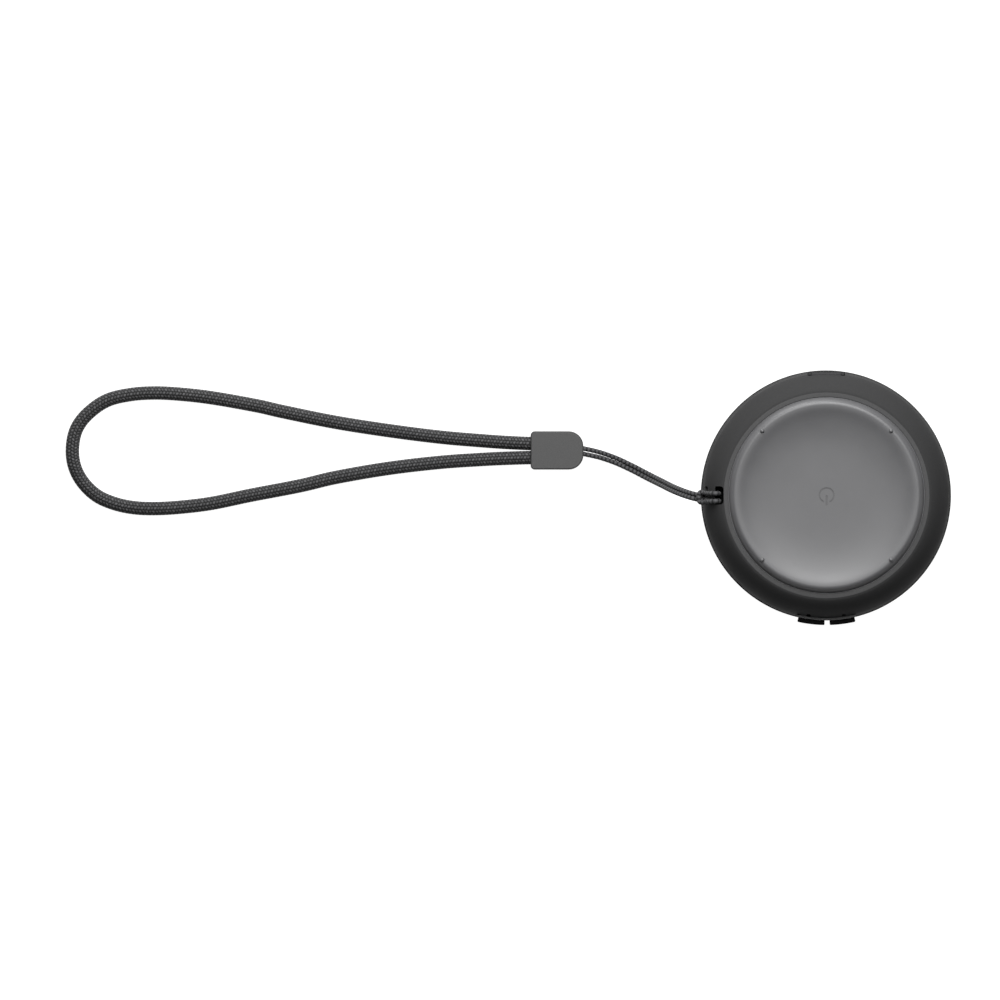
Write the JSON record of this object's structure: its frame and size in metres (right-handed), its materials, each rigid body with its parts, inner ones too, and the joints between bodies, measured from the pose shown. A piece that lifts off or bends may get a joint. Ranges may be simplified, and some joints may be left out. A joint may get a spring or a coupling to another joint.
{
  "type": "shower speaker",
  "caption": "Round water-resistant shower speaker with a dished power key in its base, side volume buttons, a covered charging port and a cord wrist strap.",
  "frame": {"origin": "on the body's axis, in the plane of the front face that the speaker lies on", "axes": "+Z out of the base with the power key, +Y towards the charging port, -X towards the lanyard tunnel and the strap"},
  "size_m": [0.3257, 0.0937, 0.0405],
  "materials": {
    "casing_plastic": "fine-grained dark grey moulded plastic with a soft sheen",
    "key_silicone": "mid grey silicone, very fine matt grain",
    "black_rubber": "matt black rubber",
    "grille_metal": "dark satin powder coat",
    "dark_fabric": "dark woven mesh",
    "inner_plastic": "plain dark moulding",
    "steel": "zinc plated",
    "cone_paper": "coated black paper",
    "copper": "wound copper wire",
    "circuit_board": "green solder mask",
    "chip_resin": "black moulded resin",
    "cell_wrap": "shrink wrap over a foil cell",
    "foam_tape": "closed-cell foam",
    "wire_cover": "wire insulation",
    "braided_cord": "dark grey round braid",
    "thin_cord": "thin twisted dark cord",
    "clasp_plastic": "mid grey moulded plastic"
  },
  "bodies": {
    "speaker": {"rear_shell": "casing_plastic", "front_bezel": "casing_plastic", "shell_seal": "black_rubber", "front_grille": "grille_metal", "grille_cloth": "dark_fabric", "baffle": "inner_plastic", "key_seal": "black_rubber", "power_switch": "chip_resin", "driver_basket": "steel", "driver_surround": "black_rubber", "driver_spider": "dark_fabric", "magnet_cup": "steel", "driver_magnet": "steel", "pole_plate": "steel", "case_screw_1": "steel", "case_screw_2": "steel", "case_screw_3": "steel", "case_screw_4": "steel", "driver_screw_1": "steel", "driver_screw_2": "steel", "driver_screw_3": "steel", "driver_screw_4": "steel", "board_screw_1": "steel", "board_screw_2": "steel", "board_screw_3": "steel", "main_board": "circuit_board", "radio_module": "steel", "amplifier_chip": "chip_resin", "battery_cell": "cell_wrap", "battery_tape": "foam_tape", "charge_board": "circuit_board", "usb_port": "steel", "button_board": "circuit_board", "volume_down_switch": "chip_resin", "volume_up_switch": "chip_resin", "speaker_lead": "wire_cover", "battery_lead": "wire_cover", "button_lead": "wire_cover", "charge_lead": "wire_cover", "strap_cord": "thin_cord", "strap_loop": "braided_cord", "strap_clasp_base": "clasp_plastic", "strap_clasp_top": "clasp_plastic"},
    "power_key": {"power_key": "key_silicone", "key_clip": "steel"},
    "volume_down": {"volume_down_button": "black_rubber"},
    "volume_up": {"volume_up_button": "black_rubber"},
    "port_cover": {"port_cover": "black_rubber"},
    "driver_cone": {"driver_cone": "cone_paper", "driver_dust_cap": "cone_paper", "voice_coil": "copper"}
  },
  "joints": [
    {"name": "power_key_press", "type": "slide", "parent": "speaker", "child": "power_key", "axis": [0, 0, -1], "range_m": [0, 0.0006], "stiffness_N_per_m": 4000, "deforming": ["key_seal"]},
    {"name": "volume_down_press", "type": "slide", "parent": "speaker", "child": "volume_down", "axis": [0.1253, 0.9921, 0], "range_m": [0, 0.0006], "stiffness_N_per_m": 3000},
    {"name": "volume_up_press", "type": "slide", "parent": "speaker", "child": "volume_up", "axis": [-0.1253, 0.9921, 0], "range_m": [0, 0.0006], "stiffness_N_per_m": 3000},
    {"name": "port_cover_hinge", "type": "hinge", "parent": "speaker", "child": "port_cover", "pos_m": [0, 0.0447, 0.0142], "axis": [-1, 0, 0], "range_deg": [0, 100]},
    {"name": "cone_travel", "type": "slide", "parent": "speaker", "child": "driver_cone", "axis": [0, 0, 1], "range_m": [-0.0008, 0.0008], "stiffness_N_per_m": 2000, "deforming": ["driver_surround", "driver_spider"]}
  ]
}
